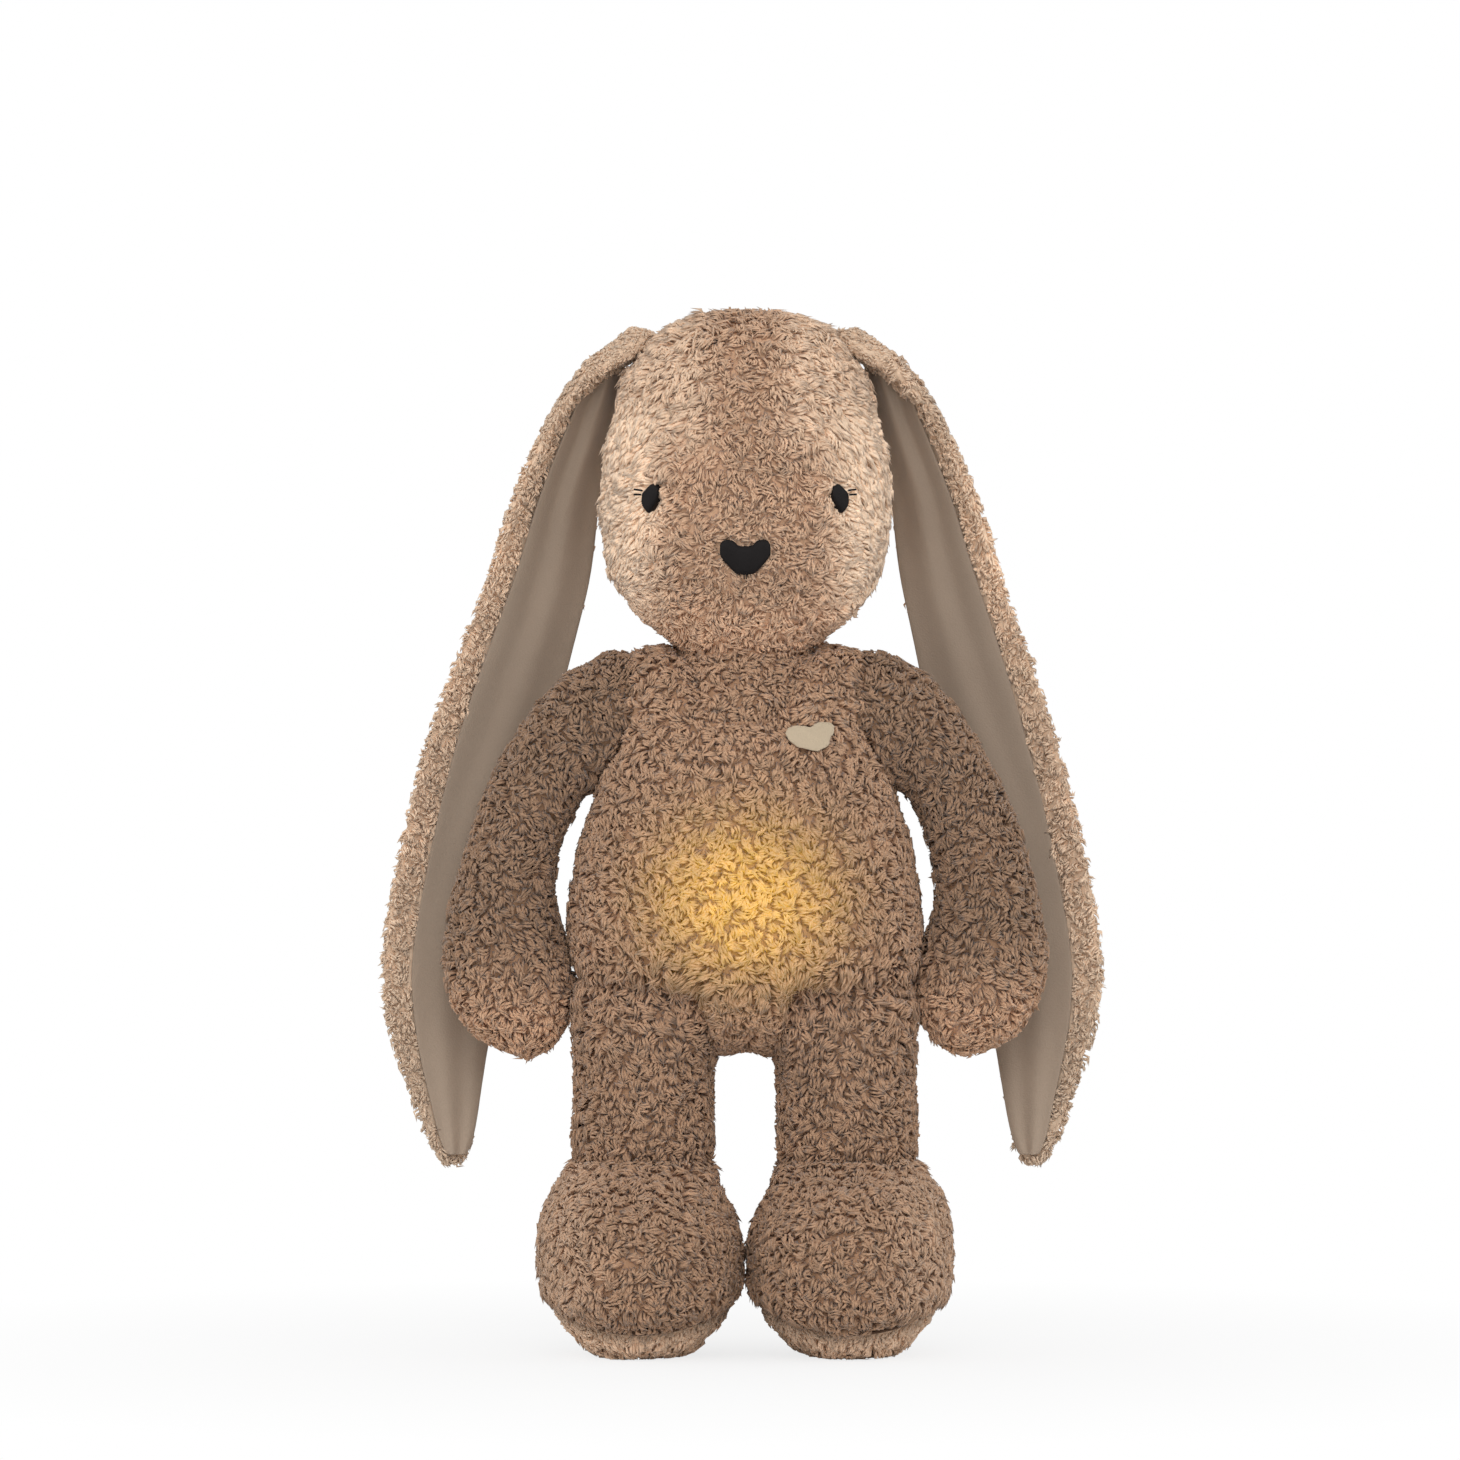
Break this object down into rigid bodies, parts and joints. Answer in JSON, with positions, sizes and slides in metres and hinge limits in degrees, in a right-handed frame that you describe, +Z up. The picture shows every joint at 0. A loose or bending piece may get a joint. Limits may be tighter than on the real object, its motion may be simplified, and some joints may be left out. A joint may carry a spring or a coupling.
{
  "type": "plush rabbit toy",
  "caption": "Standing plush rabbit in curly brown pile with long lop ears, stitched face, heart patch and a light-and-sound unit in a pocket in its back.",
  "frame": {"origin": "on the floor between the soles, below the middle of the toy's width and depth", "axes": "+Z up; the face looks along -Y; +X is the toy's own left side"},
  "size_m": [0.2758, 0.1108, 0.3985],
  "materials": {
    "pile_fabric": "curly teddy pile, warm brown",
    "fibre": "loose white filling fibre",
    "velour": "smooth short-napped greige fabric",
    "dark_thread": "dark brown stitched thread and tape",
    "cream_felt": "flat cream felt",
    "diffuser_plastic": "milky plastic that spreads the light",
    "white_plastic": "fine moulded grain",
    "board_green": "green lacquered circuit board",
    "emitter": "pale yellow resin",
    "bright_steel": "plain bright steel",
    "battery_film": "blue film wrap",
    "speaker_black": "black frame and cone",
    "button_rubber": "soft matte buttons"
  },
  "bodies": {
    "torso": {"body_skin": "pile_fabric", "body_stuffing": "fibre", "heart_patch": "cream_felt", "pocket_liner": "velour", "hook_strip": "dark_thread", "unit_rear_shell": "white_plastic", "unit_diffuser": "diffuser_plastic", "circuit_board": "board_green", "battery": "battery_film", "speaker": "speaker_black", "charging_socket": "bright_steel", "board_screw_1": "bright_steel", "board_screw_2": "bright_steel", "board_screw_3": "bright_steel", "light_emitter_1": "emitter", "light_emitter_2": "emitter", "light_emitter_3": "emitter"},
    "neck": {"neck_gusset": "pile_fabric", "neck_stuffing": "fibre"},
    "head": {"head_skin": "pile_fabric", "head_stuffing": "fibre", "eye_left": "dark_thread", "eye_right": "dark_thread", "nose": "dark_thread"},
    "flap": {"pocket_flap": "pile_fabric", "loop_strip": "dark_thread"},
    "arm_left": {"arm_skin_left": "pile_fabric", "arm_stuffing_left": "fibre"},
    "leg_left": {"leg_skin_left": "pile_fabric", "leg_stuffing_left": "fibre", "foot_skin_left": "pile_fabric", "foot_stuffing_left": "fibre", "sole_left": "pile_fabric"},
    "ear_left": {"ear_outer_left": "pile_fabric", "ear_lining_left": "velour"},
    "arm_right": {"arm_skin_right": "pile_fabric", "arm_stuffing_right": "fibre"},
    "leg_right": {"leg_skin_right": "pile_fabric", "leg_stuffing_right": "fibre", "foot_skin_right": "pile_fabric", "foot_stuffing_right": "fibre", "sole_right": "pile_fabric"},
    "ear_right": {"ear_outer_right": "pile_fabric", "ear_lining_right": "velour"},
    "button_play": {"button_play": "button_rubber"},
    "button_louder": {"button_louder": "button_rubber"},
    "button_softer": {"button_softer": "button_rubber"},
    "button_light": {"button_light": "button_rubber"}
  },
  "joints": [
    {"name": "neck_nod", "type": "hinge", "parent": "torso", "child": "neck", "pos_m": [0, 0.006, 0.2445], "axis": [1, 0, 0], "range_deg": [0, 16]},
    {"name": "head_tilt", "type": "hinge", "parent": "neck", "child": "head", "pos_m": [0, 0.006, 0.2445], "axis": [0, 1, 0], "range_deg": [-8, 8]},
    {"name": "flap_lift", "type": "hinge", "parent": "torso", "child": "flap", "pos_m": [0, 0.0479, 0.209], "axis": [1, 0, 0], "range_deg": [0, 120]},
    {"name": "arm_swing_left", "type": "hinge", "parent": "torso", "child": "arm_left", "pos_m": [0.044, 0.008, 0.2415], "axis": [-0.9272, 0, -0.3746], "range_deg": [0, 90]},
    {"name": "leg_swing_left", "type": "hinge", "parent": "torso", "child": "leg_left", "pos_m": [0.0393, 0.008, 0.12], "axis": [-1, 0, 0], "range_deg": [-15, 80]},
    {"name": "ear_lift_left", "type": "hinge", "parent": "head", "child": "ear_left", "pos_m": [0.0365, 0.011, 0.3895], "axis": [0, -1, 0], "range_deg": [0, 80]},
    {"name": "arm_swing_right", "type": "hinge", "parent": "torso", "child": "arm_right", "pos_m": [-0.044, 0.008, 0.2415], "axis": [-0.9272, 0, 0.3746], "range_deg": [0, 90]},
    {"name": "leg_swing_right", "type": "hinge", "parent": "torso", "child": "leg_right", "pos_m": [-0.0393, 0.008, 0.12], "axis": [-1, 0, 0], "range_deg": [-15, 80]},
    {"name": "ear_lift_right", "type": "hinge", "parent": "head", "child": "ear_right", "pos_m": [-0.0365, 0.011, 0.3895], "axis": [0, 1, 0], "range_deg": [0, 80]},
    {"name": "button_play_press", "type": "slide", "parent": "torso", "child": "button_play", "axis": [0, -1, 0], "range_m": [0, 0.001], "stiffness_N_per_m": 400, "springref_m": -0.0005},
    {"name": "button_louder_press", "type": "slide", "parent": "torso", "child": "button_louder", "axis": [0, -1, 0], "range_m": [0, 0.001], "stiffness_N_per_m": 400, "springref_m": -0.0005},
    {"name": "button_softer_press", "type": "slide", "parent": "torso", "child": "button_softer", "axis": [0, -1, 0], "range_m": [0, 0.001], "stiffness_N_per_m": 400, "springref_m": -0.0005},
    {"name": "button_light_press", "type": "slide", "parent": "torso", "child": "button_light", "axis": [0, -1, 0], "range_m": [0, 0.001], "stiffness_N_per_m": 400, "springref_m": -0.0005}
  ]
}
